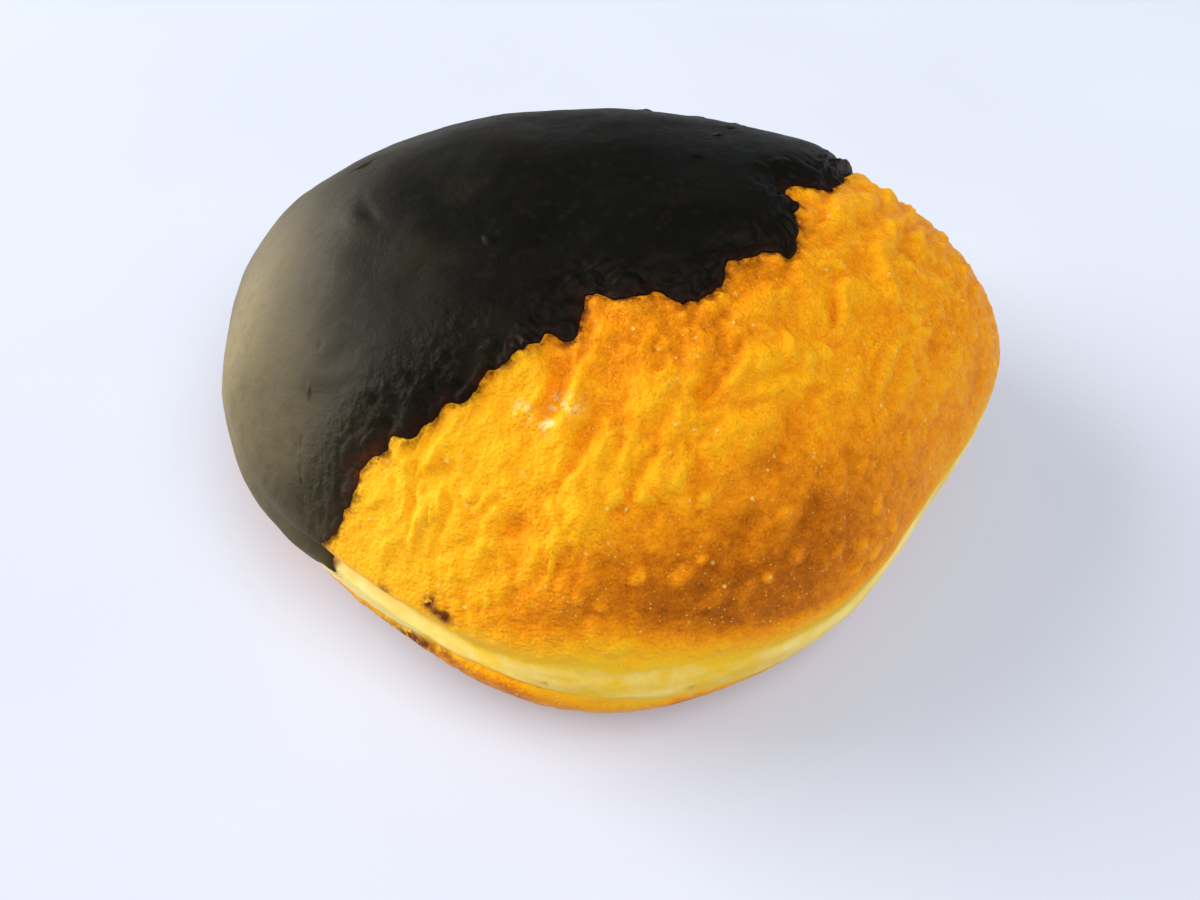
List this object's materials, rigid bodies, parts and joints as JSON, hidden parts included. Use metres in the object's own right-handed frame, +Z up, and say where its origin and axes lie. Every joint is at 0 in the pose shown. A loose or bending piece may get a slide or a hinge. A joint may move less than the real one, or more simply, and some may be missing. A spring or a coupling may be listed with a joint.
{
  "type": "malasada",
  "caption": "Fried yeast bun with a domed crust, a pale waist and a flatter underside, half dipped in a thin coat of dark chocolate; rests on its underside.",
  "frame": {"origin": "middle of the footprint's box, on the surface the bun rests on", "axes": "+X along the bun's long side, +Z up, +Y away from the bare side towards the dipped side"},
  "size_m": [0.1076, 0.089, 0.0425],
  "materials": {
    "crust": "fried dough: wrinkled and blistered golden crust, pale cream waist, browned underside, dry satin surface",
    "chocolate": "set dark chocolate: smooth satin skin with small pits and a thin reddish edge"
  },
  "bodies": {
    "root": {"fried_bun": "crust", "chocolate_coat": "chocolate"}
  },
  "joints": []
}
